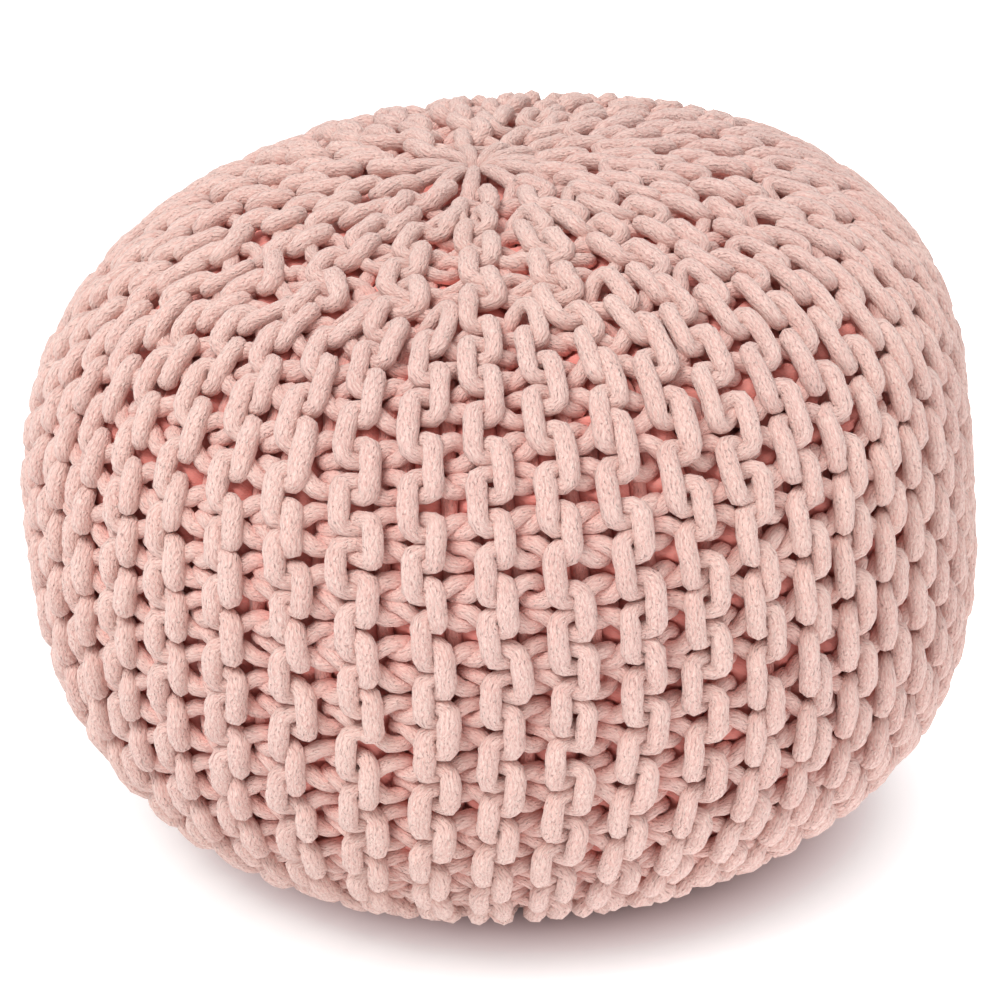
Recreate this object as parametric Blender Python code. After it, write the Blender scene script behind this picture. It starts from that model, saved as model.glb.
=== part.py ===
"""Knitted pouf: a hand-knitted cover of thick cord over a stuffed inner casing.

Metres, +Z up. The pouf rests on z = 0, its box is centred on the Z axis and its front faces -Y. The
cover's ridges run like meridians from the drawn-in top to the flattened underside. The body has settled
a little to its -X side, and its +X side is the fuller one.
"""

import math

import bmesh
import bpy
import numpy as np

# Driving dimensions of the settled body
WIDTH = 0.500                     # across the widest stitches
CROWN_HEIGHT = 0.1930             # widest line up to the gathered top
BELLY_DEPTH = 0.182               # widest line down to the lowest point, before the floor flattens it
FLATTENED = 0.050                 # share of the belly depth that the floor pushes flat
CROWN_POWER = 2.90                # squareness of the outline above the widest line: 2 is an ellipse
BELLY_POWER = 2.75                # and below it
SIDE_FULLNESS = 0.30              # how much squarer the +X side is than the front, and the -X side rounder
LEAN_TOP = math.radians(3.9)      # roll about Y at the top, +X side up
LEAN_BASE = math.radians(6.4)     # and at the underside
DIMPLE_DEPTH = 0.001              # hollow where the top is drawn in
DIMPLE_RADIUS = 0.045
EYE_RADIUS = 0.005                # puckered eye at the centre of the top

# Knitted cover
RIDGES = 46                       # knitted ridges around the pouf
RIDGE_SPREAD = 0.15               # how much wider the ridges stand on the -X side, closer on the +X side
COVER_THICKNESS = 0.027           # at the crest of a ridge
VALLEY_DEPTH = 0.011              # hollow between two ridges
COLUMNS_OF_A_RIDGE = (            # place across the ridge spacing, share of the valley depth
    (-0.25, 0.0),
    (0.25, 0.0),
    (0.50, 1.0),
)
RISE_START = 0.030                # way from the eye at which the ridges begin to rise
RISE_END = 0.150                  # and at which they have their whole depth
FLOOR_FADE = 0.060                # height over which the ridges rise from the flat underside

# Inner casing
CASING_GAP = 0.0006               # between the casing and the inside of the cover

# Mesh
COVER_RINGS = 21                  # rings of points down the outside of the cover
INNER_RINGS = 13                  # rings down the cover's inside, and down the casing
INNER_COLUMNS = RIDGES            # points in one of those inner rings
OUTLINE_STEPS = 800               # fine steps that space the rings evenly

SHARP_ANGLE = math.radians(50.0)  # steeper edges than this are shaded sharp

CORD_COLOUR = (0.81, 0.55, 0.49, 1.0)
CASING_COLOUR = (0.60, 0.17, 0.14, 1.0)


def smooth(value):
    """Ease from 0 to 1."""
    value = np.clip(value, 0.0, 1.0)
    return value * value * (3.0 - 2.0 * value)


def spaced_evenly(radius, height):
    """The same curve with its points at equal steps along it, and its length."""
    travelled = np.concatenate(([0.0], np.cumsum(np.hypot(np.diff(radius), np.diff(height)))))
    stops = np.linspace(0.0, travelled[-1], len(radius))
    return np.interp(stops, travelled, radius), np.interp(stops, travelled, height), travelled[-1]


def outline(bearing, depth):
    """Half outline from top pole to bottom pole, depth inside the crests, before the body settles.

    A bearing is the angle round the Z axis from the front (-Y) towards +X.
    """
    angle = np.linspace(0.5 * math.pi, -0.5 * math.pi, OUTLINE_STEPS)
    above = angle > 0.0
    power = np.where(above, CROWN_POWER, BELLY_POWER) + SIDE_FULLNESS * math.sin(bearing)
    half_height = np.where(above, CROWN_HEIGHT, BELLY_DEPTH)
    radius = 0.5 * WIDTH * np.clip(np.cos(angle), 0.0, 1.0) ** (2.0 / power)
    height = half_height * np.sign(angle) * np.abs(np.sin(angle)) ** (2.0 / power)
    height = height - DIMPLE_DEPTH * np.exp(-(radius / DIMPLE_RADIUS) ** 2) * above
    radius, height, length = spaced_evenly(radius, height)
    along_radius = np.gradient(radius)
    along_height = np.gradient(height)
    step = np.hypot(along_radius, along_height)
    inner_radius = np.clip(radius + depth * along_height / step, 0.0, None)
    inner_height = height - depth * along_radius / step
    return inner_radius, inner_height, length


def settle(radius, height, bearing, depth):
    """Lean a meridian's points over and press them on the floor, depth above it."""
    share = smooth((height + BELLY_DEPTH) / (CROWN_HEIGHT + BELLY_DEPTH))
    lean = LEAN_BASE + (LEAN_TOP - LEAN_BASE) * share
    across = radius * math.sin(bearing)
    x = across * np.cos(lean) - height * np.sin(lean)
    y = -radius * math.cos(bearing)
    z = across * np.sin(lean) + height * np.cos(lean) + BELLY_DEPTH * (1.0 - FLATTENED)
    return np.stack((x, y, np.maximum(z, depth)), axis=-1)


def meridian(bearing, depth, rings, hollow_share=0.0):
    """Points from the rim of the eye to the middle of the underside, sunk where two ridges meet."""
    radius, height, length = outline(bearing, depth)
    way = np.linspace(0.0, length, len(radius))
    points = settle(radius, height, bearing, depth)
    if hollow_share:
        rise = smooth((way - RISE_START) / (RISE_END - RISE_START)) * smooth(points[:, 2] / FLOOR_FADE)
        hollow = depth + hollow_share * VALLEY_DEPTH * rise
        radius, height, length = outline(bearing, hollow)
        points = settle(radius, height, bearing, hollow)
    start = np.interp(EYE_RADIUS, radius[: len(radius) // 2], way[: len(radius) // 2])
    stops = np.linspace(start, way[-1], rings)
    return np.stack([np.interp(stops, way, points[:, axis]) for axis in range(3)], axis=-1)


def ridge_bearing(ridge):
    """Bearing of a ridge, or of a place between two; the ridges stand wider on the -X side."""
    turn = 2.0 * math.pi * ridge / RIDGES
    return turn + RIDGE_SPREAD * (math.cos(turn) - 1.0)


def outside_columns():
    """Meridians of the cover's outside, three for each ridge."""
    columns = []
    for ridge in range(RIDGES):
        for place, hollow_share in COLUMNS_OF_A_RIDGE:
            columns.append(meridian(ridge_bearing(ridge + place), 0.0, COVER_RINGS, hollow_share))
    return columns


def inside_columns(depth):
    """Meridians of a smooth inner surface."""
    bearings = [ridge_bearing(RIDGES * column / INNER_COLUMNS) for column in range(INNER_COLUMNS)]
    return [meridian(bearing, depth, INNER_RINGS) for bearing in bearings]


def add_skin(mesh, columns):
    """Rings of vertices joined by faces and closed at the middle of the underside; gives the top ring."""
    rings = []
    for ring in range(len(columns[0]) - 1):
        rings.append([mesh.verts.new(column[ring]) for column in columns])
    middle = mesh.verts.new(np.mean([column[-1] for column in columns], axis=0))
    for upper, lower in zip(rings, rings[1:]):
        for index in range(len(columns)):
            after = (index + 1) % len(columns)
            mesh.faces.new((upper[index], lower[index], lower[after], upper[after]))
    for index in range(len(columns)):
        after = (index + 1) % len(columns)
        mesh.faces.new((rings[-1][index], middle, rings[-1][after]))
    return rings[0]


def edges_round(ring):
    """Edges of a closed ring of vertices."""
    members = set(ring)
    edges = set()
    for vertex in ring:
        for edge in vertex.link_edges:
            if edge.other_vert(vertex) in members:
                edges.add(edge)
    return list(edges)


def make_material(name, colour, roughness):
    """Plain matte fabric colour."""
    material = bpy.data.materials.new(name)
    material.use_nodes = True
    shader = material.node_tree.nodes["Principled BSDF"]
    shader.inputs["Base Color"].default_value = colour
    shader.inputs["Roughness"].default_value = roughness
    shader.inputs["Metallic"].default_value = 0.0
    return material


def make_object(name, mesh, material, parent):
    """Object from a closed bmesh, faces out, shaded smooth."""
    bmesh.ops.recalc_face_normals(mesh, faces=mesh.faces)
    data = bpy.data.meshes.new(name)
    mesh.to_mesh(data)
    mesh.free()
    data.shade_smooth()
    data.set_sharp_from_angle(angle=SHARP_ANGLE)
    data.materials.append(material)
    made = bpy.data.objects.new(name, data)
    bpy.context.collection.objects.link(made)
    made.parent = parent
    return made


def make_cover(outside, parent):
    """Knitted shell: ridged outside, smooth inside, open only at the eye in the middle of the top."""
    mesh = bmesh.new()
    outer_rim = add_skin(mesh, outside)
    inner_rim = add_skin(mesh, inside_columns(COVER_THICKNESS))
    bmesh.ops.bridge_loops(mesh, edges=edges_round(outer_rim) + edges_round(inner_rim))
    return make_object("knitted_cover", mesh, make_material("cotton_cord", CORD_COLOUR, 0.95), parent)


def make_casing(parent):
    """Stuffed inner casing, which fills the cover and shows between its stitches."""
    mesh = bmesh.new()
    top = add_skin(mesh, inside_columns(COVER_THICKNESS + CASING_GAP))
    bmesh.ops.contextual_create(mesh, geom=edges_round(top))
    return make_object("inner_casing", mesh, make_material("casing_cloth", CASING_COLOUR, 0.8), parent)


def main():
    for old in list(bpy.data.objects):
        bpy.data.objects.remove(old, do_unlink=True)
    outside = outside_columns()
    points = np.concatenate(outside)
    middle = 0.5 * (points.min(axis=0) + points.max(axis=0))
    pouf = bpy.data.objects.new("pouf", None)
    bpy.context.collection.objects.link(pouf)
    pouf.location = (-middle[0], -middle[1], 0.0)
    make_cover(outside, pouf)
    make_casing(pouf)


main()
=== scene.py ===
import math

import bpy
import numpy as np
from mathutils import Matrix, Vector


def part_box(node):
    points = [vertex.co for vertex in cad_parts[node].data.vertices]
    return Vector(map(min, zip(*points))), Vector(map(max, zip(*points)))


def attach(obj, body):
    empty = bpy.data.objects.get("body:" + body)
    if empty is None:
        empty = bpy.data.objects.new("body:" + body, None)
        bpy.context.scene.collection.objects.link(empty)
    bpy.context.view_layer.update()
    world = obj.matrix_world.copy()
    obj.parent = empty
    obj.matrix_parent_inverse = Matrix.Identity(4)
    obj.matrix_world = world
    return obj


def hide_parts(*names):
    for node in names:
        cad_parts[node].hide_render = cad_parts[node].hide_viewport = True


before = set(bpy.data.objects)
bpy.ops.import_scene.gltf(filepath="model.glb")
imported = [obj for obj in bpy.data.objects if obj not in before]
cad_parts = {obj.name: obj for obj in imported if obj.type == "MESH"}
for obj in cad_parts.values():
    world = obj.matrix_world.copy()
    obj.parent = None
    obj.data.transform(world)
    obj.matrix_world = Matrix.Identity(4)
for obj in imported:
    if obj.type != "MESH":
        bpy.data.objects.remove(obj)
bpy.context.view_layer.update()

# Settled body, as in the CAD
WIDTH = 0.500                     # across the widest stitches
CROWN_HEIGHT = 0.1930             # widest line up to the gathered top
BELLY_DEPTH = 0.182               # widest line down to the lowest point, before the floor flattens it
FLATTENED = 0.050                 # share of the belly depth that the floor pushes flat
CROWN_POWER = 2.90                # squareness of the outline above the widest line
BELLY_POWER = 2.75                # and below it
SIDE_FULLNESS = 0.30              # how much squarer the +X side is than the front
LEAN_TOP = math.radians(3.9)      # roll about Y at the top, +X side up
LEAN_BASE = math.radians(6.4)     # and at the underside
DIMPLE_DEPTH = 0.001              # hollow where the top is drawn in
DIMPLE_RADIUS = 0.045
RIDGES = 46
RIDGE_SPREAD = 0.15               # how much wider the ridges stand on the -X side
OUTLINE_STEPS = 800
BEARING_STEPS = 360
BOX_STEPS = 200                   # along an outline, where the body's box is measured

# How far the knitting has slipped on the body, and between which ways from the top pole
SAG = 0.0105                      # all round
SAG_BAND = (0.18, 0.085, 0.50, 0.15)     # its start and what it comes in over, its end and the same
SIDE_SAG = 0.034                  # further down on the +X side, and up on the -X side
SIDE_SAG_HUMP = (0.44, 0.16)      # its middle and reach
FOOT_SWING = math.radians(7.0)    # of the lower front towards -X
FOOT_BAND = (0.33, 0.22, 0.56, 0.12)
SHOULDER_SLIP = 0.012             # round the body, away from the front
SHOULDER_HUMP = (0.16, 0.09)
FIRST_BEARING = math.radians(1.0)

# Cord and stitches
SEED = 7
CORD_RADIUS = 0.0056              # soft outside of the cord
CORE_WIDTH = 0.0083               # how close two cords' middles can press as they settle: outsides overlap
STITCH_PITCH = 0.033              # along a ridge
STITCH_START = -0.010             # way at which the stitches are counted from
LOOP_LENGTH = 0.095               # cord drawn into one stitch, before contact pushes it longer
SPACINGS = (0.013, 0.016, 0.019, 0.023, 0.028)   # of ridges, at which a stitch is worked out
HALF_POINTS = 13                  # points in half a stitch
FIRST_OVERHANG = 0.175            # of a loop before it settles, as a share of the pitch
FIRST_DEPTH = 0.8                 # and its depth and its arch, in core widths
FIRST_ARCH = 0.55
SETTLE_STEPS = 1500
STIFFNESS = 0.03                  # share of a bend's unevenness that is taken out at each step
LENGTH_PASSES = 3
GIVE = 0.45                       # share of a wrong length or of a clash that is put right at once
OWN_REACH = 1.35                  # in core widths: cord nearer than this along itself doesn't press
FLATTEN = 0.990                   # depth that a stitch keeps at each settling step
BEND_DETAIL = 0.008               # metres: how much closer points stand where the cord bends
BEND_SAMPLES = 8                  # to each point, where the bend is measured
WIDTH_SPACINGS = (0.012, 0.018, 0.023, 0.028, 0.034, 0.040)   # of ridges
FRONT_WIDTHS = (0.76, 0.86, 0.90, 0.99, 1.01, 1.08)           # of the cord in front, at each, as a share
LEG_WIDTH = 0.82                  # of the cord between its front and its back, as a share
TOP_LEGS_THINNER = 0.11           # how much less that is near the poles
BACK_WIDTH = 0.78
COLUMN_SPACING = (0.0050, 0.0062, 0.0078, 0.0094, 0.0118)   # of a ridge's two, at each spacing
STRAIGHTNESS = (0.3, 0.4, 0.6, 0.9, 1.0)   # of the front and back arcs, at each spacing
ARC_FROM = 0.30                   # share of the relief at which an arc begins
ARC_OVER = 0.45                   # and over which it comes in
WIDENING = 0.6                    # how soon the cord spreads from front to back between wide ridges
PAIRING = 0.0020                  # how far the two legs of a stitch are drawn together
TOP_PAIRING = 2.2                 # and how much further near the poles
POLE_REACH = (0.12, 0.06)         # way from a pole at which its stretch fades, and over which
CROWDED = 0.020                   # ridge spacing below which a loop is drawn narrower
LEAST_ROOM = 0.12                 # least share of that spacing that counts
TOP_RELIEF = 0.78                 # share of the stitches' relief that is left where the top is stretched
SIDE_RELIEF = 0.88                # and on the sides
SIDE_START = (0.10, 0.20)         # way from the top pole at which the sides begin, and over which
SIDE_END = (0.05, 0.10)           # and from the bottom pole
WIDE_RELIEF_LOSS = 0.25           # share lost where the ridges near a pole stand widest apart
WIDE_SPACINGS = (0.026, 0.012)    # ridge spacing at which that begins, and over which it comes in
BACK_SAG = 1.15                   # how much deeper the back of the knit lies than its front stands out
SQUEEZED = 0.012                  # ridge spacing below which the cord is squeezed thinner
LEAST_SQUEEZED = 0.2              # least share of that spacing that counts
DRAWN_POINTS = 16                 # in half a stitch, once it has settled
SIDES = 8                         # of the cord's cross-section
LUMPINESS = 0.14                  # share of its radius by which the soft cord gives way in places
WAY_UNEVENNESS = 0.0017           # of each stitch, along its ridge
TURN_UNEVENNESS = 0.0014          # across it
DEPTH_UNEVENNESS = 0.0006
WIDTH_UNEVENNESS = 0.035          # as a share
BENDS = 3                         # small bends of the cord in each stitch
KINK = 0.0010                     # and how far they take it out of line
WAVES = 14                        # slow waves in the hand knitting
WAVE_COUNTS = (1, 7)              # round the body, from the first up to but not the second
WAVE_TIGHTNESS = 40.0             # radians a metre along it, at the most
WAY_WANDER = 0.0022               # how far these take a stitch along its ridge
TURN_WANDER = 0.0016              # and across it
WANDER_FADE = (0.03, 0.08)        # way from a pole at which they begin, and over which
STITCH_RADIUS = 0.004             # least radii at which a stitch's width, its unevenness
UNEVEN_RADIUS = 0.03              # and a slip are turned into angles
SLIP_RADIUS = 0.05
PIECES = 6

# Where ridges end, as ways from the pole
SHORT_END = 0.148                 # every second ridge
MIDDLE_END = 0.064                # every second one of the others
LONG_END = 0.031                  # the rest
END_UNEVENNESS = (0.0015, 0.005, 0.008)  # of long, middle and short ends
FADE = 0.045                      # way over which a ridge's share of the round comes in
FADE_EARLY = 0.4                  # share of it that lies before the ridge's end
LEAST_SHARE = 0.02                # of a ridge's width, where it has ended
END_REACH = 0.40                  # of a stitch's pitch, from its head to the ridge's end
END_STRETCH = 0.110               # way over which stitches stretch to meet the end
JOINT_POINTS = 5                  # behind the fabric, where a ridge's two rows meet
JOINT_DEPTH = 0.003
DRAWN_FROM = 0.030                # way at which the drawn-in cords leave their ridges

# Depths in the cover, from its crests
PAINTED_BOUNCE_FROM = 0.0065              # where the painted warm bounce light on deep cord begins
PAINTED_BOUNCE_OVER = 0.0145              # and over what depth that comes in
OUTWARD_STEP = 0.004              # at which the way out of the body is measured
CASING_BULGE = 0.0088             # where the casing bulges between the stitches
CASING_POLE_DEPTH = 0.0055        # how much deeper it lies near the poles
CASING_POLE_REACH = (0.12, 0.16)  # way from a pole at which that fades, and over which
CASING_CLEAR = 0.0003             # aimed at between the casing and a cord, but not kept everywhere


def smooth(value):
    """Ease from 0 to 1."""
    value = np.clip(value, 0.0, 1.0)
    return value * value * (3.0 - 2.0 * value)


def eased(value, start, over):
    """Ease from 0 to 1, from a start and over a length."""
    return smooth((value - start) / over)


def band(value, start, start_over, end, end_over):
    """1 between a start and an end, eased in and out."""
    return eased(value, start, start_over) * (1.0 - eased(value, end, end_over))


def hump(value, middle, reach):
    """1 at a middle, falling off to both sides."""
    return np.exp(-((value - middle) / reach) ** 2)


# ---------------- body surface

def outline(bearing):
    """Crest outline from top pole to bottom pole at one bearing: radius, height, length."""
    angle = np.linspace(0.5 * math.pi, -0.5 * math.pi, OUTLINE_STEPS)
    above = angle > 0.0
    power = np.where(above, CROWN_POWER, BELLY_POWER) + SIDE_FULLNESS * math.sin(bearing)
    half_height = np.where(above, CROWN_HEIGHT, BELLY_DEPTH)
    radius = 0.5 * WIDTH * np.clip(np.cos(angle), 0.0, 1.0) ** (2.0 / power)
    height = half_height * np.sign(angle) * np.abs(np.sin(angle)) ** (2.0 / power)
    height = height - DIMPLE_DEPTH * np.exp(-(radius / DIMPLE_RADIUS) ** 2) * above
    travelled = np.concatenate(([0.0], np.cumsum(np.hypot(np.diff(radius), np.diff(height)))))
    stops = np.linspace(0.0, travelled[-1], len(radius))
    return np.interp(stops, travelled, radius), np.interp(stops, travelled, height), travelled[-1]


class Body:
    """The settled body's crest surface, looked up by way from the top pole, bearing and depth."""

    def __init__(self):
        bearings = np.linspace(-math.pi, math.pi, BEARING_STEPS + 1)
        rows = [outline(bearing) for bearing in bearings]
        self.radius = np.array([row[0] for row in rows])
        self.height = np.array([row[1] for row in rows])
        self.length = rows[BEARING_STEPS // 2][2]
        radial = np.gradient(self.radius, axis=1)
        upward = np.gradient(self.height, axis=1)
        step = np.hypot(radial, upward)
        self.inward_radius = upward / step
        self.inward_height = -radial / step
        self.shift = np.zeros(3)
        ways = np.linspace(0.0, self.length, BOX_STEPS)
        crest = np.zeros(BOX_STEPS)
        outlines = [self.point(ways, np.full(BOX_STEPS, bearing), crest) for bearing in bearings]
        points = np.concatenate(outlines)
        low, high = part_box("knitted_cover")
        middle = 0.5 * (points.min(axis=0) + points.max(axis=0))
        self.shift = np.array((0.5 * (low.x + high.x) - middle[0], 0.5 * (low.y + high.y) - middle[1], 0.0))

    def look_up(self, table, way, bearing):
        """Table value between its rows and columns."""
        across = np.mod(bearing + math.pi, 2.0 * math.pi) / (2.0 * math.pi) * BEARING_STEPS
        down = np.clip(way / self.length, 0.0, 1.0) * (OUTLINE_STEPS - 1)
        row = np.clip(across.astype(int), 0, BEARING_STEPS - 1)
        column = np.clip(down.astype(int), 0, OUTLINE_STEPS - 2)
        a = across - row
        d = down - column
        upper = table[row, column] * (1.0 - d) + table[row, column + 1] * d
        lower = table[row + 1, column] * (1.0 - d) + table[row + 1, column + 1] * d
        return upper * (1.0 - a) + lower * a

    def point(self, way, bearing, depth):
        """Points at a depth inside the crests, on the leaning body with its foot pressed flat."""
        radius = self.look_up(self.radius, way, bearing)
        height = self.look_up(self.height, way, bearing)
        radius = radius + depth * self.look_up(self.inward_radius, way, bearing)
        height = height + depth * self.look_up(self.inward_height, way, bearing)
        radius = np.maximum(radius, 0.0)
        share = smooth((height + BELLY_DEPTH) / (CROWN_HEIGHT + BELLY_DEPTH))
        lean = LEAN_BASE + (LEAN_TOP - LEAN_BASE) * share
        across = radius * np.sin(bearing)
        x = across * np.cos(lean) - height * np.sin(lean)
        y = -radius * np.cos(bearing)
        z = across * np.sin(lean) + height * np.cos(lean) + BELLY_DEPTH * (1.0 - FLATTENED)
        return np.stack((x, y, np.maximum(z, depth)), axis=-1) + self.shift


# ---------------- stitches

def first_loop(spacing):
    """Half a stitch before it settles: from the middle of its sinker to the middle of its head."""
    turn = np.linspace(0.0, math.pi, HALF_POINTS)
    reach = 0.25 * spacing + 0.5 * CORE_WIDTH
    along = STITCH_PITCH * (turn / (2.0 * math.pi) - 0.5 + FIRST_OVERHANG * np.sin(2.0 * turn))
    across = 0.25 * spacing - reach * np.cos(turn)
    out = CORE_WIDTH * (FIRST_DEPTH * np.cos(turn) - FIRST_ARCH * np.sin(2.0 * turn))
    return np.stack((along, across, out), axis=-1)


def neighbours(halves, spacings):
    """The fabric round each half stitch, as points with the row and the place along it."""
    mirrored = halves[:, -2::-1] * (-1.0, 1.0, 1.0)
    whole = np.concatenate((halves, mirrored), axis=1)
    count = whole.shape[1]
    points = []
    places = []
    for row in (-2, -1, 0, 1, 2):
        for stitch in (-1, 0, 1):
            copy = whole.copy()
            copy[:, :, 0] += stitch * STITCH_PITCH
            copy[:, :, 1] += (0.5 * row * spacings)[:, None]
            if row % 2:
                copy[:, :, 2] *= -1.0
            points.append(copy)
            places.append(np.stack((np.full(count, row), stitch * (count - 1) + np.arange(count)), axis=-1))
    return np.concatenate(points, axis=1), np.concatenate(places)


def settled_loops():
    """Half stitches at each ridge spacing, pulled short and pressed against their neighbours."""
    spacings = np.array(SPACINGS)
    halves = np.array([first_loop(spacing) for spacing in SPACINGS])
    count = halves.shape[1]
    link = 0.5 * LOOP_LENGTH / (count - 1)
    pitch = np.array((-STITCH_PITCH, 0.0, 0.0))
    _, places = neighbours(halves, spacings)
    apart = np.abs(places[None, :, 1] - np.arange(count)[:, None]) * link
    own = (places[None, :, 0] == 0) & (apart < OWN_REACH * CORE_WIDTH)
    for _ in range(SETTLE_STEPS):
        before = halves[:, 2:0:-1] * (-1.0, 1.0, 1.0) + pitch
        after = halves[:, -2:-4:-1] * (-1.0, 1.0, 1.0)
        chain = np.concatenate((before, halves, after), axis=1)
        bend = chain[:, 2:] - 2.0 * chain[:, 1:-1] + chain[:, :-2]
        halves = halves - STIFFNESS * (bend[:, 2:] - 2.0 * bend[:, 1:-1] + bend[:, :-2])
        for _ in range(LENGTH_PASSES):
            steps = np.diff(halves, axis=1)
            lengths = np.linalg.norm(steps, axis=2, keepdims=True)
            pull = GIVE * steps * (lengths - link) / lengths
            halves[:, :-1] += pull
            halves[:, 1:] -= pull
            halves[:, 0, 0] = -0.5 * STITCH_PITCH
            halves[:, -1, 0] = 0.0
        points, _ = neighbours(halves, spacings)
        gaps = halves[:, :, None] - points[:, None]
        distances = np.linalg.norm(gaps, axis=3)
        press = np.where(own[None] | (distances >= CORE_WIDTH), 0.0, CORE_WIDTH - distances)
        push = (press[..., None] * gaps / np.maximum(distances, 1e-9)[..., None]).sum(axis=2)
        halves = halves + GIVE * push / np.maximum((press > 0.0).sum(axis=2), 1)[..., None]
        halves[:, :, 2] *= FLATTEN
        halves[:, 0, 0] = -0.5 * STITCH_PITCH
        halves[:, -1, 0] = 0.0
    return halves


def on_curve(halves, places):
    """Points of each half stitch at places counted along its points, on a smooth curve through them."""
    pitch = np.array((-STITCH_PITCH, 0.0, 0.0))
    before = halves[:, 1:2] * (-1.0, 1.0, 1.0) + pitch
    after = halves[:, -2:-1] * (-1.0, 1.0, 1.0)
    chain = np.concatenate((before, halves, after), axis=1)
    start = np.clip(places.astype(int), 0, halves.shape[1] - 2)
    t = (places - start)[None, :, None]
    a, b, c, d = (chain[:, start + offset] for offset in range(4))
    return b + 0.5 * t * (c - a + t * (2.0 * a - 5.0 * b + 4.0 * c - d + t * (3.0 * (b - c) + d - a)))


def gathered(halves):
    """The same half stitches with their points closer together where the cord bends."""
    count = halves.shape[1]
    places = np.linspace(0.0, count - 1.0, BEND_SAMPLES * (count - 1) + 1)
    dense = on_curve(halves, places)
    step = np.linalg.norm(np.diff(dense, axis=1), axis=2).mean()
    bend = np.linalg.norm(np.diff(dense, 2, axis=1), axis=2).mean(axis=0) / step ** 2
    weight = 1.0 + BEND_DETAIL * np.concatenate((bend[:1], bend, bend[-1:]))
    travelled = np.concatenate(([0.0], np.cumsum(0.5 * (weight[1:] + weight[:-1]))))
    return on_curve(halves, np.interp(np.linspace(0.0, travelled[-1], DRAWN_POINTS), travelled, places))


class Stitches:
    """Whole settled stitches, looked up by ridge spacing."""

    def __init__(self):
        halves = gathered(settled_loops())
        spacings = np.array(SPACINGS)
        middle = 0.5 * (halves[:, 0, 1] + halves[:, -1, 1] - 0.5 * spacings)
        halves[:, :, 1] -= middle[:, None]
        self.top = np.abs(halves[:, :, 2]).max(axis=1)
        out = halves[:, :, 2] / self.top[:, None]
        column = 0.5 * np.array(COLUMN_SPACING)[:, None]
        straight = np.where(out > 0.0, -column, 0.5 * spacings[:, None] + column)
        share = eased(np.abs(out), ARC_FROM, ARC_OVER) * np.array(STRAIGHTNESS)[:, None]
        halves[:, :, 1] += (straight - halves[:, :, 1]) * share
        self.whole = np.concatenate((halves, halves[:, -2:0:-1] * (-1.0, 1.0, 1.0)), axis=1)
        self.samples = self.whole.shape[1]

    def look_up(self, sample, spacing):
        """Along, across and out of the middle of the fabric, and the crest's height, at each sample."""
        place = np.interp(spacing, SPACINGS, np.arange(len(SPACINGS)))
        below = np.clip(place.astype(int), 0, len(SPACINGS) - 2)
        share = (place - below)[:, None]
        point = self.whole[below, sample] * (1.0 - share) + self.whole[below + 1, sample] * share
        top = self.top[below] * (1.0 - share[:, 0]) + self.top[below + 1] * share[:, 0]
        wider = 0.5 * np.maximum(spacing - SPACINGS[-1], 0.0)
        across = point[:, 1] + wider * smooth(0.5 - WIDENING * point[:, 2] / top)
        return point[:, 0], across, point[:, 2], top


# ---------------- cover

LONG, MIDDLE, SHORT = range(3)
ENDS = (LONG_END, MIDDLE_END, SHORT_END)


def kind_of(ridge):
    """How near the poles a ridge reaches: every second one stops short, and so on inward."""
    if ridge % 2:
        return SHORT
    step = min(ridge, RIDGES - ridge) // 2
    return MIDDLE if step % 2 else LONG


class Layout:
    """How ridges share the way round, at each way from the pole."""

    def __init__(self, body, rng):
        self.body = body
        self.kinds = [kind_of(ridge) for ridge in range(RIDGES)]
        middle = np.array([ENDS[kind] for kind in self.kinds])
        uneven = np.array([END_UNEVENNESS[kind] for kind in self.kinds])
        self.top_ends = middle + uneven * rng.uniform(-1.0, 1.0, RIDGES)
        self.low_ends = middle + uneven * rng.uniform(-1.0, 1.0, RIDGES)

    def shares(self, way):
        """Width of every ridge at each way, 1 where it has all its room."""
        fade = np.array([FADE if kind == SHORT else 0.5 * FADE for kind in self.kinds])
        down = way[:, None]
        top = eased(down, self.top_ends - FADE_EARLY * fade, fade)
        low = eased(self.body.length - down, self.low_ends - FADE_EARLY * fade, fade)
        rest = 1.0 - LEAST_SHARE
        return (LEAST_SHARE + rest * top) * (LEAST_SHARE + rest * low)

    def turn(self, place, way, ridge):
        """Angle round at a place counted in ridges, and the angle that this ridge takes."""
        shares = self.shares(way)
        edges = np.concatenate((np.zeros((len(way), 1)), np.cumsum(shares, axis=1)), axis=1)
        whole = edges[:, -1]
        cell = int(math.floor(place + 0.5))
        fraction = place + 0.5 - cell
        rounds = cell // RIDGES
        cell = cell % RIDGES
        total = edges[:, cell] + fraction * shares[:, cell] + rounds * whole - 0.5 * shares[:, 0]
        return 2.0 * math.pi * total / whole, 2.0 * math.pi * shares[:, ridge % RIDGES] / whole

    def gathered_bearings(self, underneath):
        """Bearings of the ridges that reach the middle, where their cords are drawn in."""
        radius = np.array([DRAWN_FROM])
        way = self.body.length - radius if underneath else radius
        bearings = []
        for ridge in range(RIDGES):
            if self.kinds[ridge] == LONG:
                turn, _ = self.turn(ridge, way, ridge)
                _, bearing = drifted(way, spread(turn), radius)
                bearings.append(float(bearing[0]))
        return bearings


def spread(turn):
    """Bearing from an evenly shared angle: ridges stand wider on the -X side."""
    return turn + RIDGE_SPREAD * (np.cos(turn) - 1.0)


def drifted(way, bearing, radius):
    """Where the knitting has slipped to on the body: the +X side hangs lower, and the foot swings to -X."""
    side = np.sin(bearing)
    lower = way + SAG * band(way, *SAG_BAND) + side * SIDE_SAG * hump(way, *SIDE_SAG_HUMP)
    swing = -np.cos(bearing) * FOOT_SWING * band(way, *FOOT_BAND)
    round_it = side * SHOULDER_SLIP * hump(way, *SHOULDER_HUMP) / np.maximum(radius, SLIP_RADIUS)
    return lower, bearing + swing + round_it + FIRST_BEARING


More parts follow.
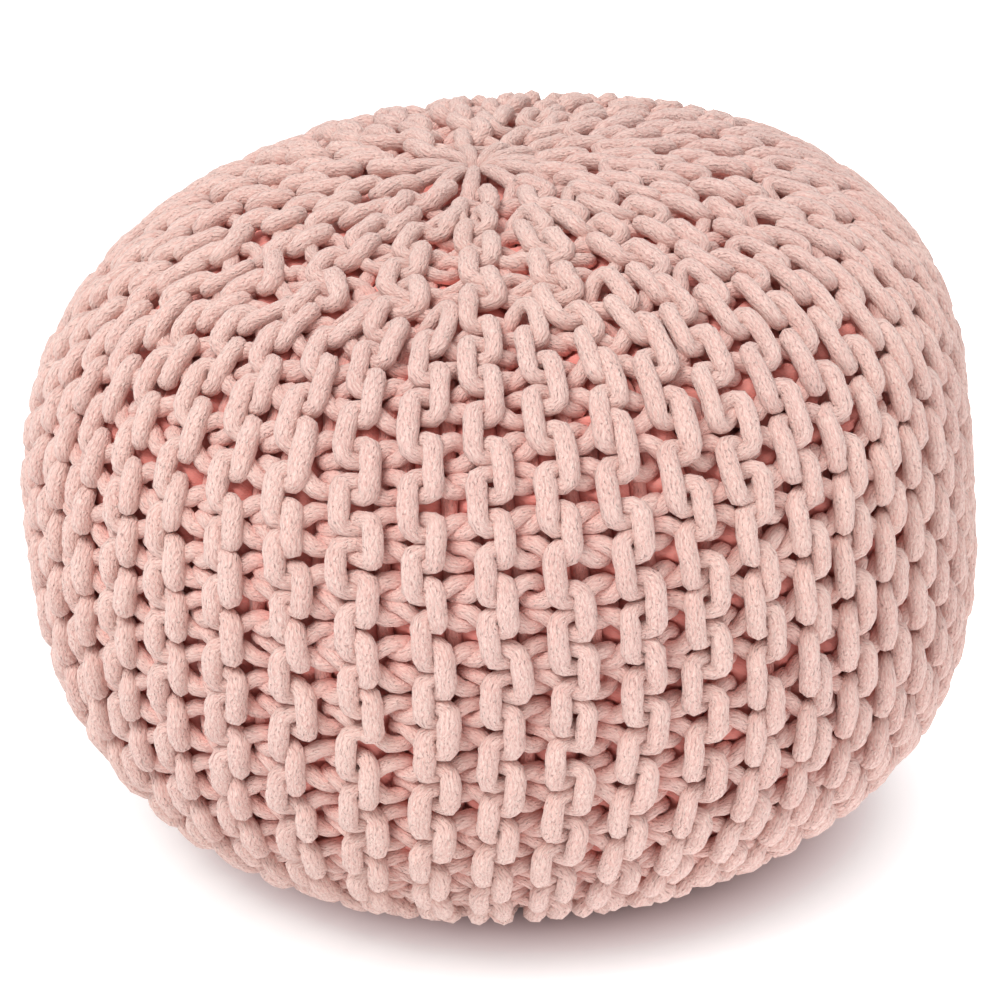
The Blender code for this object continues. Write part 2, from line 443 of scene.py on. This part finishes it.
class Cover:
    """Routes of the cords."""

    def __init__(self, body, stitches):
        self.body = body
        self.stitches = stitches
        self.rng = np.random.default_rng(SEED)
        self.layout = Layout(body, self.rng)
        self.waves = [self.wave() for _ in range(WAVES)]

    def wave(self):
        """One slow wave: how many round the body, how tight along it, where it starts and its size."""
        round_count = self.rng.integers(*WAVE_COUNTS)
        along = self.rng.uniform(-WAVE_TIGHTNESS, WAVE_TIGHTNESS)
        phase = self.rng.uniform(0.0, 6.28)
        return round_count, along, phase, self.rng.normal()

    def wander(self, turn, way, which):
        """Slow unevenness of the hand knitting."""
        total = 0.0
        for number, (round_count, along, phase, size) in enumerate(self.waves):
            if number % 2 == which:
                total = total + size * np.sin(round_count * turn + along * way + phase)
        return total / math.sqrt(0.5 * len(self.waves))

    def heads(self, ridge):
        """A ridge's first and last head, counted in stitches, and how far each moves to end the ridge."""
        reach = END_REACH * STITCH_PITCH
        first_way = self.layout.top_ends[ridge] + reach
        last_way = self.body.length - self.layout.low_ends[ridge] - reach
        first = round((first_way - STITCH_START) / STITCH_PITCH - 0.5) + 0.5
        last = round((last_way - STITCH_START) / STITCH_PITCH - 0.5) + 0.5
        return first, last, first_way - self.way_of(first), last_way - self.way_of(last)

    def way_of(self, count):
        """Way from the pole of a place counted in stitches, before the ends are stretched."""
        return count * STITCH_PITCH + STITCH_START

    def stretched(self, way, heads):
        """Way with the stitches near a ridge's ends moved to end where it does."""
        first, last, first_move, last_move = heads
        from_first = (way - self.way_of(first)) / END_STRETCH
        from_last = (self.way_of(last) - way) / END_STRETCH
        return way + first_move * (1.0 - smooth(from_first)) + last_move * (1.0 - smooth(from_last))

    def uneven(self, place, stitch):
        """Unevenness of each stitch, and of the small bends in it."""
        knots = np.arange(stitch[0] - 1, stitch[-1] + 3) - 0.5
        values = self.rng.normal(size=(4, len(knots)))
        stitches = [np.interp(place, knots, row) for row in values]
        knots = np.arange(BENDS * (stitch[0] - 1), BENDS * (stitch[-1] + 3)) / BENDS
        values = self.rng.normal(size=(3, len(knots)))
        return stitches, [np.interp(place, knots, row) for row in values]

    def row(self, number, ridge, heads, first, last):
        """Points of one row between two places counted in stitches: way, turn, depth, width."""
        samples = self.stitches.samples
        index = np.arange(int(round(first * samples)), int(round(last * samples)) + 1)
        stitch = np.floor_divide(index, samples)
        middle = self.stretched(self.way_of(index / samples), heads)
        base, unit = self.layout.turn(0.5 * number, middle, ridge)
        radius = self.body.look_up(self.body.radius, middle, spread(base))
        spacing = unit * radius * (1.0 - RIDGE_SPREAD * np.sin(base))
        along, across, out, top = self.stitches.look_up(np.mod(index, samples), spacing)
        lift = -out if number % 2 else out
        drawn = 1.0 - eased(np.minimum(middle, self.body.length - middle), *POLE_REACH)

        count = stitch + 0.5 + along / STITCH_PITCH
        pairing = PAIRING * (1.0 + TOP_PAIRING * drawn) * smooth(0.5 - 0.5 * lift / top)
        way = self.stretched(self.way_of(count) + pairing * np.sin(2.0 * math.pi * count), heads)
        room = np.clip(spacing / CROWDED, LEAST_ROOM, 1.0) ** 0.5
        base, unit = self.layout.turn(0.5 * number, way, ridge)
        wider = 1.0 - RIDGE_SPREAD * np.sin(base)
        turn = base + across * room / np.maximum(radius, STITCH_RADIUS) / wider
        stitches, bends = self.uneven(index / samples, stitch)
        way = way + WAY_UNEVENNESS * stitches[0] + KINK * bends[0]
        turn = turn + (TURN_UNEVENNESS * stitches[1] + KINK * bends[1]) / np.maximum(radius, UNEVEN_RADIUS)

        flat = eased(way, *SIDE_START) * eased(self.body.length - way, *SIDE_END)
        relief = TOP_RELIEF + (SIDE_RELIEF - TOP_RELIEF) * flat
        relief = relief * (1.0 - WIDE_RELIEF_LOSS * eased(spacing, *WIDE_SPACINGS) * drawn)
        drop = np.where(lift > 0.0, top - lift, top - BACK_SAG * lift) * relief
        depth = CORD_RADIUS + drop + DEPTH_UNEVENNESS * stitches[2] + 0.5 * KINK * bends[2]

        leg = LEG_WIDTH - TOP_LEGS_THINNER * drawn
        front = np.interp(spacing, WIDTH_SPACINGS, FRONT_WIDTHS)
        width = leg + (np.where(lift > 0.0, front, BACK_WIDTH) - leg) * (lift / top) ** 2
        squeezed = np.clip(spacing / SQUEEZED, LEAST_SQUEEZED, 1.0) ** 0.35
        width = CORD_RADIUS * width * squeezed * (1.0 + WIDTH_UNEVENNESS * stitches[3])
        return np.stack((way, turn, np.maximum(depth, CORD_RADIUS), width))

    def turn_behind(self, start, end):
        """Joint at the back of the fabric."""
        steps = np.linspace(0.0, 1.0, JOINT_POINTS + 2)[1:-1]
        joint = start[:, None] + (end - start)[:, None] * steps
        joint[2] += JOINT_DEPTH * np.sin(math.pi * steps)
        return joint

    def ridge(self, ridge):
        """Closed route of the two rows that show as one ridge."""
        heads = self.heads(ridge)
        first, last = heads[:2]
        left = self.row(2 * ridge - 1, ridge, heads, first - 0.5, last + 0.5)
        right = self.row(2 * ridge, ridge, heads, first, last)
        top = self.turn_behind(left[:, 0], right[:, 0])
        low = self.turn_behind(right[:, -1], left[:, -1])
        return np.concatenate((left[:, ::-1], top, right, low), axis=1)

    def routes(self):
        """Each ridge's way, bearing, depth and width along its closed route."""
        routes = []
        for ridge in range(RIDGES):
            way, turn, depth, width = self.ridge(ridge)
            fade = eased(np.minimum(way, self.body.length - way), *WANDER_FADE)
            way = way + WAY_WANDER * self.wander(turn, way, 0) * fade
            radius = self.body.look_up(self.body.radius, way, spread(turn))
            turn = turn + TURN_WANDER * self.wander(turn, way, 1) / np.maximum(radius, SLIP_RADIUS) * fade
            way, bearing = drifted(way, spread(turn), radius)
            routes.append(np.stack((way, bearing, depth, width)))
        return routes


# Cords drawn in to the middle: way from the pole, depth, half the distance between a cord's two legs, width
ARM_STATIONS = (
    (0.060, 0.0225, 0.0006, 0.0044),
    (0.050, 0.0205, 0.0006, 0.0044),
    (0.042, 0.0155, 0.0006, 0.0044),
    (0.034, 0.0085, 0.0006, 0.0043),
    (0.026, 0.0052, 0.0006, 0.0041),
    (0.018, 0.0043, 0.0005, 0.0039),
    (0.010, 0.0038, 0.0004, 0.0034),
    (0.004, 0.0060, 0.0004, 0.0028),
    (0.002, 0.0160, 0.0004, 0.0027),
)
ARM_SHORTFALLS = (0.0, 0.002, 0.007, 0.0, 0.003, 0.001)   # how far short of the middle they dive, in turn
ARM_UNEVENNESS = 0.0012
ARM_STEP = 0.25                   # of the way between two stations, from one point to the next
ARM_ROUNDING = 6


def arm(body, rng, bearing, short, underneath):
    """Closed route of a cord that comes from under the ridges, dives at the middle and goes back."""
    stations = np.array(ARM_STATIONS)
    inward = short + stations[:, 0] * (1.0 - short / ARM_STATIONS[0][0])
    lean = ARM_UNEVENNESS * np.cumsum(rng.normal(size=len(stations)))[::-1] * inward / ARM_STATIONS[0][0]
    rise = 0.5 * ARM_UNEVENNESS * rng.normal(size=len(stations))
    legs = []
    for hand in (1.0, -1.0):
        aside = lean + hand * stations[:, 2]
        legs.append(np.stack((inward, aside, stations[:, 1] + rise, stations[:, 3]), axis=-1))
    corners = np.concatenate((legs[0], legs[1][::-1]))
    count = len(corners)
    fine = np.arange(0.0, count, ARM_STEP)
    closed = np.concatenate((corners, corners[:1]))
    columns = [np.interp(fine, np.arange(count + 1), column) for column in closed.T]
    inward, aside, depth, width = round_filter(np.stack(columns, axis=-1), ARM_ROUNDING).T
    way = np.hypot(inward, aside)
    if underneath:
        way = body.length - way
    return np.stack((way, bearing + np.arctan2(aside, inward), np.maximum(depth, width), width))


def round_filter(values, passes):
    """Closed row of values, smoothed along."""
    for _ in range(passes):
        values = 0.25 * np.roll(values, 1, axis=0) + 0.5 * values + 0.25 * np.roll(values, -1, axis=0)
    return values


def rings(points):
    """Directions out of a closed cord, to each corner of its cross-sections, without a twist in all."""
    count = len(points)
    ahead = np.roll(points, -1, axis=0) - np.roll(points, 1, axis=0)
    tangent = ahead / np.linalg.norm(ahead, axis=1, keepdims=True)
    side = np.zeros_like(points)
    first = np.cross(tangent[0], (0.0, 0.0, 1.0))
    if np.linalg.norm(first) < 0.1:
        first = np.cross(tangent[0], (1.0, 0.0, 0.0))
    side[0] = first / np.linalg.norm(first)
    for index in range(1, count):
        carried = side[index - 1] - tangent[index] * (side[index - 1] @ tangent[index])
        side[index] = carried / np.linalg.norm(carried)
    closing = side[-1] - tangent[0] * (side[-1] @ tangent[0])
    closing = closing / np.linalg.norm(closing)
    slip = math.atan2(np.cross(closing, side[0]) @ tangent[0], closing @ side[0])
    twist = slip * np.arange(count) / count
    up = np.cross(tangent, side)
    angle = np.linspace(0.0, 2.0 * math.pi, SIDES, endpoint=False)[None, :] + twist[:, None]
    return np.cos(angle)[..., None] * side[:, None] + np.sin(angle)[..., None] * up[:, None]


def tube(points, width, depth, outward, rng):
    """Vertices, faces, UVs and depths inside the crests of a closed cord."""
    count = len(points)
    ring = rings(points)
    lumps = 1.0 - LUMPINESS * rng.random((count, SIDES))
    vertices = points[:, None] + ring * (width[:, None] * lumps)[..., None]
    vertices[..., 2] = np.maximum(vertices[..., 2], 0.0)
    sunk = depth[:, None] - np.einsum("ijk,ik->ij", ring, outward) * width[:, None]

    here = np.arange(count * SIDES).reshape(count, SIDES)
    after = np.roll(here, -1, axis=1)
    faces = np.stack((here, after, np.roll(after, -1, axis=0), np.roll(here, -1, axis=0)), axis=-1)

    step = np.linalg.norm(np.roll(points, -1, axis=0) - points, axis=1)
    along = np.concatenate(([0.0], np.cumsum(step)))
    u0 = np.repeat(along[:-1], SIDES)
    u1 = np.repeat(along[1:], SIDES)
    v0 = np.tile(np.arange(SIDES) / SIDES, count)
    v1 = v0 + 1.0 / SIDES
    uvs = np.stack((np.stack((u0, u0, u1, u1), axis=1), np.stack((v0, v1, v1, v0), axis=1)), axis=-1)
    return vertices.reshape(-1, 3), faces.reshape(-1, 4), uvs.reshape(-1, 2), sunk.ravel()


def make_mesh(name, parts, material):
    """One smooth object from several closed cords."""
    starts = np.cumsum([0] + [len(part[0]) for part in parts])
    vertices = np.concatenate([part[0] for part in parts])
    faces = np.concatenate([part[1] + start for part, start in zip(parts, starts)])
    uvs = np.concatenate([part[2] for part in parts])
    depths = np.concatenate([part[3] for part in parts])
    mesh = bpy.data.meshes.new(name)
    mesh.vertices.add(len(vertices))
    mesh.vertices.foreach_set("co", vertices.astype(np.float32).ravel())
    mesh.loops.add(faces.size)
    mesh.loops.foreach_set("vertex_index", faces.astype(np.int32).ravel())
    mesh.polygons.add(len(faces))
    mesh.polygons.foreach_set("loop_start", (np.arange(len(faces)) * 4).astype(np.int32))
    mesh.update(calc_edges=True)
    mesh.uv_layers.new(name="cord")
    mesh.uv_layers["cord"].data.foreach_set("uv", uvs.astype(np.float32).ravel())
    # the inside share marks how much painted warm bounce light a point gets, by its depth in the knit
    inside = mesh.attributes.new("inside", "FLOAT", "POINT")
    inside.data.foreach_set("value", eased(depths, PAINTED_BOUNCE_FROM, PAINTED_BOUNCE_OVER).astype(np.float32))
    mesh.validate()
    mesh.shade_smooth()
    mesh.materials.append(material)
    made = bpy.data.objects.new(name, mesh)
    bpy.context.collection.objects.link(made)
    return made


# ---------------- casing

CASING_RINGS = 195
CASING_COLUMNS = 432
NEAR_RINGS = range(-2, 3)         # round a cord's point, where the cord may reach the casing
NEAR_COLUMNS = range(-7, 8)
CASING_RADIUS = 0.02              # least radius at which a column's step is measured
CASING_SMOOTHING = 2


def casing_depths(body, routes):
    """Depth of the casing on a grid of ways and bearings: it bulges into the gaps between the cords.

    It aims to clear them, but the fit is rough: in places the casing still cuts into a cord.
    """
    ways = np.linspace(0.0, body.length, CASING_RINGS)
    middle = np.minimum(ways, body.length - ways)
    base = CASING_BULGE + CASING_POLE_DEPTH * (1.0 - eased(middle, *CASING_POLE_REACH))
    depths = np.tile(base[:, None], (1, CASING_COLUMNS))
    ring_step = ways[1]
    column_step = 2.0 * math.pi / CASING_COLUMNS
    for way, bearing, depth, width in routes:
        radius = np.maximum(body.look_up(body.radius, way, bearing), CASING_RADIUS)
        ring = way / ring_step
        column = np.mod(bearing, 2.0 * math.pi) / column_step
        reach = width + CASING_CLEAR
        for ring_offset in NEAR_RINGS:
            near_ring = np.clip(np.rint(ring).astype(int) + ring_offset, 0, CASING_RINGS - 1)
            for column_offset in NEAR_COLUMNS:
                near_column = np.rint(column).astype(int) + column_offset
                aside = (near_column - column) * column_step * radius
                apart = np.hypot((near_ring - ring) * ring_step, aside)
                drop = depth + np.sqrt(np.maximum(reach ** 2 - apart ** 2, 0.0)) + CASING_CLEAR
                drop = np.where(apart < reach, drop, 0.0)
                np.maximum.at(depths, (near_ring, near_column % CASING_COLUMNS), drop)
    even = depths
    for _ in range(CASING_SMOOTHING):
        even = round_filter(even.T, 1).T
        even[1:-1] = 0.25 * even[:-2] + 0.5 * even[1:-1] + 0.25 * even[2:]
    return ways, np.maximum(even, depths)


def make_casing(body, routes, material):
    """Stuffed casing inside the stitches."""
    ways, depths = casing_depths(body, routes)
    bearings = np.arange(CASING_COLUMNS) * 2.0 * math.pi / CASING_COLUMNS
    inner = slice(1, -1)
    way, bearing = np.meshgrid(ways[inner], bearings, indexing="ij")
    points = body.point(way.ravel(), bearing.ravel(), depths[inner].ravel())
    grid = np.arange(way.size).reshape(way.shape)
    aside = np.roll(grid, -1, axis=1)
    faces = np.stack((grid[:-1], grid[1:], aside[1:], aside[:-1]), axis=-1).reshape(-1, 4)
    top = len(points)
    pole_depths = np.array((depths[0].max(), depths[-1].max()))
    poles = body.point(np.array((0.0, body.length)), np.zeros(2), pole_depths)
    caps = [(int(a), int(b), top) for a, b in zip(grid[0], aside[0])]
    caps += [(int(b), int(a), top + 1) for a, b in zip(grid[-1], aside[-1])]
    mesh = bpy.data.meshes.new("casing")
    mesh.from_pydata(np.concatenate((points, poles)).tolist(), [], faces.tolist() + caps)
    mesh.shade_smooth()
    mesh.materials.append(material)
    casing = bpy.data.objects.new("casing", mesh)
    bpy.context.collection.objects.link(casing)
    return casing


# ---------------- materials

class Graph:
    """The nodes of a material or of the world, joined by handing outputs to inputs."""

    def __init__(self, owner, end):
        owner.use_nodes = True
        self.nodes = owner.node_tree.nodes
        self.links = owner.node_tree.links
        self.end = self.nodes[end]

    def fill(self, node, inputs):
        """Set or join a node's inputs."""
        for key, value in inputs.items():
            if isinstance(value, bpy.types.NodeSocket):
                self.links.new(value, node.inputs[key])
            else:
                node.inputs[key].default_value = value

    def node(self, kind, inputs, output=0, **settings):
        """One output of a new node."""
        made = self.nodes.new(kind)
        for key, value in settings.items():
            setattr(made, key, value)
        self.fill(made, inputs)
        return made.outputs[output]

    def place(self):
        """Place in the object's own frame."""
        return self.node("ShaderNodeTexCoord", {}, "Object")

    def part(self, vector, index):
        """One of a vector's three numbers."""
        return self.node("ShaderNodeSeparateXYZ", {0: vector}, index)

    def math(self, operation, first, second=0.0):
        return self.node("ShaderNodeMath", {0: first, 1: second}, operation=operation)

    def stretched(self, along, along_scale, round_it, round_scale, third):
        """Place on a cord, scaled along it and round it."""
        first = self.math("MULTIPLY", along, along_scale)
        second = self.math("MULTIPLY", round_it, round_scale)
        return self.node("ShaderNodeCombineXYZ", {0: first, 1: second, 2: third})

    def noise(self, vector, scale, detail=2.0, roughness=0.5):
        inputs = {"Vector": vector, "Scale": scale, "Detail": detail, "Roughness": roughness}
        return self.node("ShaderNodeTexNoise", inputs)

    def range(self, value, low, high, to_low=0.0, to_high=1.0, ends="SMOOTHSTEP"):
        """Value mapped from one range to another, held at its ends."""
        inputs = {"Value": value, "From Min": low, "From Max": high, "To Min": to_low, "To Max": to_high}
        return self.node("ShaderNodeMapRange", inputs, interpolation_type=ends)

    def mix(self, share, first, second, blend="MIX"):
        inputs = {"Factor": share, 6: first, 7: second}
        return self.node("ShaderNodeMix", inputs, output=2, data_type="RGBA", blend_type=blend)

    def bump(self, height, distance, strength, normal=None):
        inputs = {"Height": height, "Distance": distance, "Strength": strength}
        if normal is not None:
            inputs["Normal"] = normal
        return self.node("ShaderNodeBump", inputs)


CORD_WARM = (0.790, 0.525, 0.468, 1.0)
CORD_COOL = (0.760, 0.494, 0.448, 1.0)
CORD_DEEPER = (0.95, 0.88, 0.87, 1.0)     # of the cord's own colour
CORD_FIBRE = (0.880, 0.720, 0.650, 1.0)
# painted shade in the grooves between the cord's fine V stitches
CORD_GROOVE_SHADE = (0.580, 0.290, 0.255, 1.0)
# painted shade in the small holes between the fibres
CORD_PINHOLE_SHADE = (0.300, 0.120, 0.100, 1.0)
CORD_PAINTED_BOUNCE = (0.930, 0.380, 0.325, 1.0)  # painted warm bounce light, redder than the cord's own colour, on cord deep in the knit
CORD_SHEEN = (1.0, 0.93, 0.89, 1.0)
FINE_RIBS = 13.0                  # of the cord's own fine knitting, round it
FINE_ROWS = 380.0                 # and along a metre of it
FINE_SLANT = 1.8                  # of its V stitches, in rows
FINE_PULL = 2.2                   # how far they are pulled out of line, in rows

CASING_WARM = (0.905, 0.360, 0.310, 1.0)
CASING_COOL = (0.820, 0.295, 0.255, 1.0)
CASING_THREAD = (0.80, 0.42, 0.36, 1.0)


def cord_material():
    """Soft tubular cotton cord: fine V stitches in uneven rows, loose fibres, small pinholes, with painted
    shade in the grooves and pinholes and painted warm bounce light on cord deep in the knit.
    """
    material = bpy.data.materials.new("cotton_cord")
    graph = Graph(material, "Principled BSDF")
    place = graph.place()
    along_and_round = graph.node("ShaderNodeUVMap", {}, uv_map="cord")
    along = graph.part(along_and_round, 0)
    round_it = graph.part(along_and_round, 1)

    # rows of small V stitches, pulled out of line
    pulled = graph.math("MULTIPLY", graph.math("SUBTRACT", graph.noise(place, 230.0, 1.0), 0.5), FINE_PULL)
    ribs = graph.math("ADD", graph.math("MULTIPLY", round_it, FINE_RIBS), pulled)
    rib = graph.math("PINGPONG", ribs, 0.5)
    slant = graph.math("MULTIPLY", rib, FINE_SLANT)
    rows = graph.math("ADD", graph.math("ADD", graph.math("MULTIPLY", along, FINE_ROWS), slant), pulled)
    stitch = graph.math("PINGPONG", rows, 0.5)
    rounded = graph.math("POWER", graph.math("MULTIPLY", rib, 2.0), 0.6)
    height = graph.math("MULTIPLY", rounded, graph.math("ADD", stitch, 0.5))

    # fibres, pinholes in the grooves with painted shade in them, and lumps
    fibre = graph.noise(graph.stretched(along, 300.0, round_it, 30.0, 0.0), 1.6, 3.0, 0.65)
    flecks = graph.noise(graph.stretched(along, 420.0, round_it, 19.0, 5.0), 1.6, 1.0, 0.5)
    pinhole = graph.math("MULTIPLY", graph.range(flecks, 0.58, 0.68), graph.range(height, 0.70, 0.35))
    lumps = graph.noise(place, 210.0, 2.0)
    patches = graph.noise(place, 60.0, 2.0)
    areas = graph.noise(place, 7.0, 2.0)

    colour = graph.mix(graph.range(areas, 0.35, 0.65), CORD_WARM, CORD_COOL)
    deeper = graph.mix(1.0, colour, CORD_DEEPER, "MULTIPLY")
    colour = graph.mix(graph.range(patches, 0.35, 0.65), colour, deeper)
    colour = graph.mix(graph.range(fibre, 0.40, 0.66, 0.0, 0.75), colour, CORD_FIBRE)
    # painted shade in the grooves of the fine stitches
    colour = graph.mix(graph.range(height, 0.45, 0.08, 0.0, 0.42), colour, CORD_GROOVE_SHADE)
    # painted shade in the pinholes
    colour = graph.mix(graph.math("MULTIPLY", pinhole, 0.34), colour, CORD_PINHOLE_SHADE)
    # painted warm bounce light: cord deep in the knit is tinted redder
    inside = graph.node("ShaderNodeAttribute", {}, "Fac", attribute_name="inside")
    colour = graph.mix(graph.math("MULTIPLY", inside, 0.95), colour, CORD_PAINTED_BOUNCE)
    normal = graph.bump(lumps, 0.0015, 0.65)
    normal = graph.bump(height, 0.0006, 0.7, normal)
    normal = graph.bump(fibre, 0.0005, 0.6, normal)
    normal = graph.bump(pinhole, -0.0008, 0.6, normal)
    graph.fill(graph.end, {
        "Base Color": colour,
        "Roughness": graph.range(fibre, 0.3, 0.7, 0.86, 0.98),
        "Specular IOR Level": 0.3,
        "Sheen Weight": 0.45,
        "Sheen Roughness": 0.6,
        "Sheen Tint": CORD_SHEEN,
        "Normal": normal,
    })
    return material


def casing_material():
    """Plain woven cloth, pulled into fine wrinkles."""
    material = bpy.data.materials.new("casing_cloth")
    graph = Graph(material, "Principled BSDF")
    place = graph.place()
    threads = {"Vector": place, "Scale": 260.0, "Distortion": 1.0}
    weft = graph.node("ShaderNodeTexWave", threads, bands_direction="Z")
    warp = graph.node("ShaderNodeTexWave", threads, bands_direction="DIAGONAL")
    thread = graph.math("MULTIPLY", weft, warp)
    wrinkle = graph.noise(place, 120.0, 3.0)
    areas = graph.noise(place, 12.0, 2.0)
    colour = graph.mix(graph.range(areas, 0.3, 0.7), CASING_WARM, CASING_COOL)
    colour = graph.mix(graph.math("MULTIPLY", thread, 0.3), colour, CASING_THREAD)
    normal = graph.bump(thread, 0.0003, 0.5, graph.bump(wrinkle, 0.0015, 0.6))
    graph.fill(graph.end, {"Base Color": colour, "Roughness": 0.85, "Sheen Weight": 0.15, "Normal": normal})
    return material


# ---------------- camera, light, floor

CAMERA_DISTANCE = 1.75
CAMERA_RISE = math.radians(25.1)
CAMERA_LENS = 119.0               # millimetres
CAMERA_SENSOR = 36.0
CAMERA_AIM = Vector((0.0, 0.0, BELLY_DEPTH * (1.0 - FLATTENED)))
LIGHT_AIM = Vector((0.0, 0.0, 0.15))
LIGHTS = (                        # name, place, size, watts, colour
    ("key", (-2.25, -2.62, 5.62), 2.8, 293.0, (1.0, 0.99, 0.965)),
    ("fill", (2.2, -1.2, 1.8), 1.6, 0.8, (1.0, 0.93, 0.94)),
)

FLOOR_SIZE = 8.0                  # from its middle to an edge
FLOOR_GREY = (0.58, 0.58, 0.58, 1.0)
GLOW_SHIFT = (-0.012, 0.0, 0.0)   # puts the middle of the glow's ring a little to +X
GLOW_SCALE = (0.90, 1.0, 1.0)     # and stretches the ring along X
SHADOW_TINT = (1.0, 0.70, 0.73, 1.0)
OPEN_TINT = (1.0, 0.99, 0.995, 1.0)
SKY_TINT = (1.0, 0.82, 0.84, 1.0)
WHITE = (1.0, 1.0, 1.0, 1.0)


def make_camera(body):
    """Camera in front of the body, looking down on it."""
    data = bpy.data.cameras.new("camera")
    data.lens = CAMERA_LENS
    data.sensor_width = CAMERA_SENSOR
    camera = bpy.data.objects.new("camera", data)
    bpy.context.collection.objects.link(camera)
    aim = CAMERA_AIM + Vector(body.shift)
    camera.location = aim + CAMERA_DISTANCE * Vector((0.0, -math.cos(CAMERA_RISE), math.sin(CAMERA_RISE)))
    camera.rotation_euler = (aim - camera.location).to_track_quat("-Z", "Y").to_euler()
    bpy.context.scene.camera = camera


def make_light(name, place, size, power, colour):
    """Square light, turned to the body."""
    data = bpy.data.lights.new(name, "AREA")
    data.size = size
    data.energy = power
    data.color = colour
    light = bpy.data.objects.new(name, data)
    bpy.context.collection.objects.link(light)
    light.location = place
    light.rotation_euler = (LIGHT_AIM - Vector(place)).to_track_quat("-Z", "Y").to_euler()


def floor_material():
    """Pale paper that glows a little: less near the body, and more on +X, where the key light is shaded."""
    material = bpy.data.materials.new("floor")
    graph = Graph(material, "Principled BSDF")
    place = graph.place()
    ring = graph.node("ShaderNodeMapping", {"Vector": place, "Location": GLOW_SHIFT, "Scale": GLOW_SCALE})
    distance = graph.node("ShaderNodeVectorMath", {0: ring}, "Value", operation="LENGTH")
    near = graph.range(distance, 0.120, 0.190, 0.0, 0.54)
    far = graph.range(distance, 0.165, 0.235, 0.0, 0.50)
    shaded = graph.math("MULTIPLY", far, graph.range(graph.part(place, 0), -0.10, 0.14, 0.12, 1.0))
    clear = graph.range(distance, 0.138, 0.178, ends="LINEAR")
    graph.fill(graph.end, {
        "Base Color": FLOOR_GREY,
        "Roughness": 0.9,
        "Specular IOR Level": 0.0,
        "Emission Strength": graph.math("ADD", near, shaded),
        "Emission Color": graph.mix(clear, SHADOW_TINT, OPEN_TINT),
    })
    return material


def make_world():
    """Soft white studio: bright above, a pale band level with the object, dim between."""
    world = bpy.data.worlds.new("studio")
    bpy.context.scene.world = world
    graph = Graph(world, "Background")
    height = graph.part(graph.node("ShaderNodeTexCoord", {}, "Generated"), 2)
    above = graph.range(height, 0.0, 0.8, 0.02, 0.80, "LINEAR")
    level = graph.range(height, 0.10, 0.15, 0.97, 0.0)
    graph.fill(graph.end, {
        "Strength": graph.math("MAXIMUM", above, level),
        "Color": graph.mix(graph.math("MAXIMUM", height, level), SKY_TINT, WHITE),
    })


def make_stage():
    """Floor, lights and world."""
    mesh = bpy.data.meshes.new("floor")
    corners = [(x * FLOOR_SIZE, y * FLOOR_SIZE, 0.0) for x, y in ((-1, -1), (1, -1), (1, 1), (-1, 1))]
    mesh.from_pydata(corners, [], [(0, 1, 2, 3)])
    floor = bpy.data.objects.new("floor", mesh)
    bpy.context.collection.objects.link(floor)
    mesh.materials.append(floor_material())
    for name, place, size, watts, colour in LIGHTS:
        make_light(name, place, size, watts, colour)
    make_world()
    bpy.context.scene.view_settings.view_transform = "Standard"


def cord_groups(cover):
    """Routes of the cords in each piece."""
    routes = cover.routes()
    groups = []
    for piece in range(PIECES):
        first = RIDGES * piece // PIECES
        last = RIDGES * (piece + 1) // PIECES
        groups.append((f"knitted_cord_{piece + 1}", routes[first:last]))
    for name, underneath in (("drawn_in_top", False), ("drawn_in_base", True)):
        drawn = []
        for number, bearing in enumerate(cover.layout.gathered_bearings(underneath)):
            short = ARM_SHORTFALLS[number % len(ARM_SHORTFALLS)]
            drawn.append(arm(cover.body, cover.rng, bearing, short, underneath))
        groups.append((name, drawn))
    return groups


def make_cords(name, routes, body, rng, material):
    """One piece of the cover: a soft tube along each route."""
    tubes = []
    for way, bearing, depth, width in routes:
        points = round_filter(body.point(way, bearing, depth), 1)
        outward = points - round_filter(body.point(way, bearing, depth + OUTWARD_STEP), 1)
        outward = outward / np.maximum(np.linalg.norm(outward, axis=1, keepdims=True), 1e-6)
        tubes.append(tube(points, width, depth, outward, rng))
    return make_mesh(name, tubes, material)


def main():
    body = Body()
    cover = Cover(body, Stitches())
    cord = cord_material()
    groups = cord_groups(cover)
    for name, routes in groups:
        cords = make_cords(name, routes, body, cover.rng, cord)
        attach(cords, "root")
        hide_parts("knitted_cover")
    casing = make_casing(body, [route for _, routes in groups for route in routes], casing_material())
    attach(casing, "root")
    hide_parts("inner_casing")
    make_stage()
    make_camera(body)


main()
